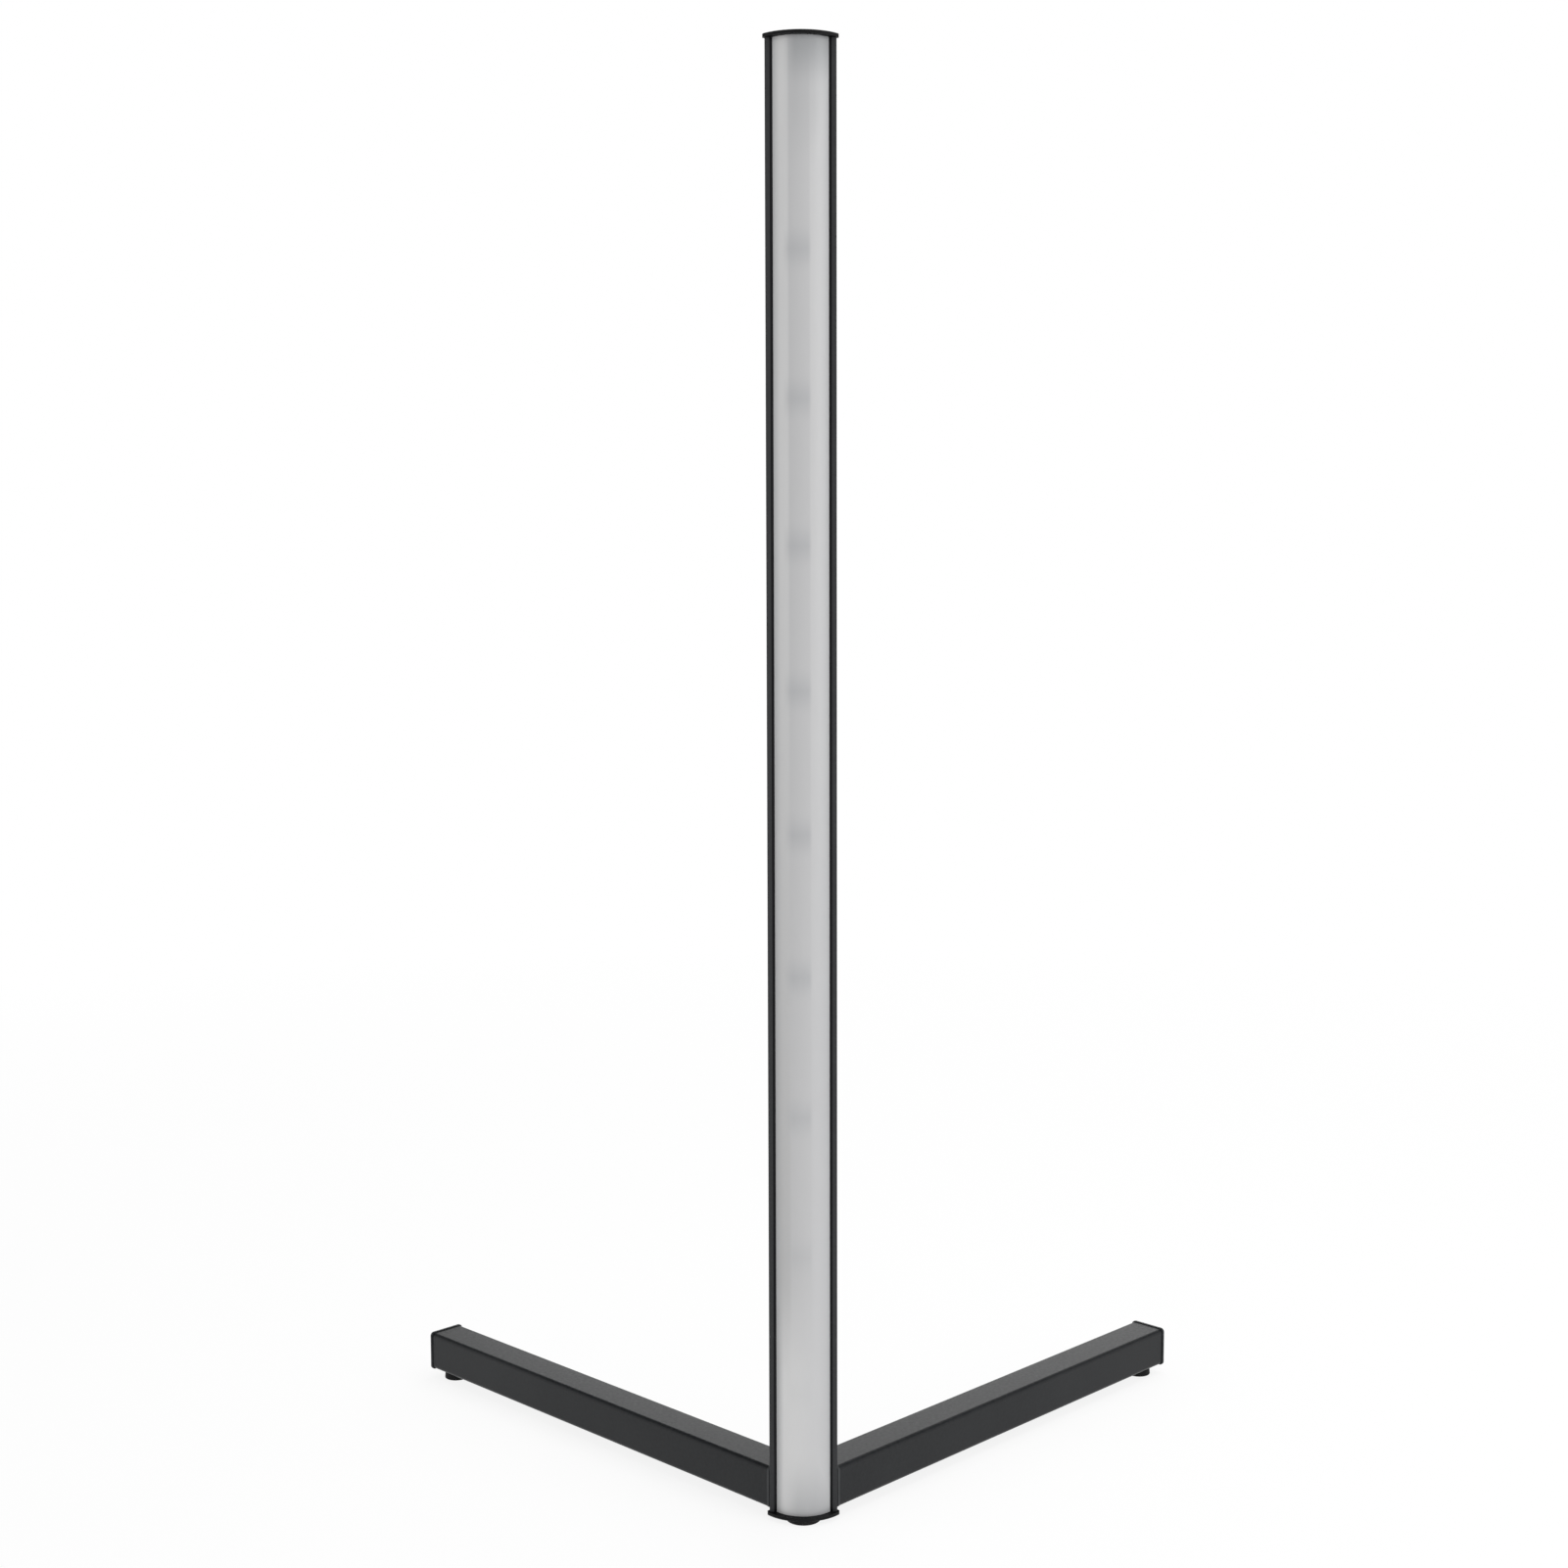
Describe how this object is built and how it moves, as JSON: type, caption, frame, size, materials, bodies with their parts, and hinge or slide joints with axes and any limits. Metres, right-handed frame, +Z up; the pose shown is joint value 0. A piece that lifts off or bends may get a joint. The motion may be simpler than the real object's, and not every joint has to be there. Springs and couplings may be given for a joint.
{
  "type": "corner floor lamp",
  "caption": "Corner floor lamp: an upright V-section light bar with a bowed milky diffuser, standing on square-tube legs at a right angle.",
  "frame": {"origin": "on the floor, under the middle of the apex foot", "axes": "+Z up along the light bar; the light faces -Y; the legs run towards (-X, +Y) and (+X, +Y)"},
  "size_m": [0.6124, 0.3159, 1.024],
  "materials": {
    "black_aluminium": "matt black powder coat on extruded aluminium",
    "black_steel": "satin black powder coat on square steel tube",
    "milky_plastic": "milky translucent extruded plastic",
    "black_abs": "smooth black moulded ABS",
    "black_nylon": "matt black moulded nylon",
    "black_rubber": "matt black rubber",
    "black_screw": "black oxide on steel",
    "zinc_steel": "bright zinc plate on steel",
    "circuit_tape": "white solder mask on flexible circuit",
    "led_package": "white package with yellow phosphor",
    "chip_epoxy": "black epoxy",
    "lead_insulation": "soft PVC insulation",
    "connector_nylon": "natural nylon"
  },
  "bodies": {
    "root": {"pole_profile": "black_aluminium", "diffuser": "milky_plastic", "top_cap": "black_abs", "bottom_plate": "black_abs", "top_cap_screw": "black_screw", "bottom_plate_screw": "black_screw", "led_strip_tape": "circuit_tape", "led_packages": "led_package", "led_driver_chips": "chip_epoxy", "strip_resistors": "chip_epoxy", "strip_leads": "lead_insulation", "lead_connector": "connector_nylon", "cable_grommet": "black_rubber", "apex_foot": "black_rubber", "left_leg_tube": "black_steel", "left_leg_joint_plug": "black_nylon", "left_leg_bolts": "zinc_steel", "left_leg_nuts": "zinc_steel", "left_plug_screw": "black_screw", "left_leg_end_cap": "black_nylon", "left_foot": "black_rubber", "left_foot_screw": "black_screw", "right_leg_tube": "black_steel", "right_leg_joint_plug": "black_nylon", "right_leg_bolts": "zinc_steel", "right_leg_nuts": "zinc_steel", "right_plug_screw": "black_screw", "right_leg_end_cap": "black_nylon", "right_foot": "black_rubber", "right_foot_screw": "black_screw"}
  },
  "joints": []
}
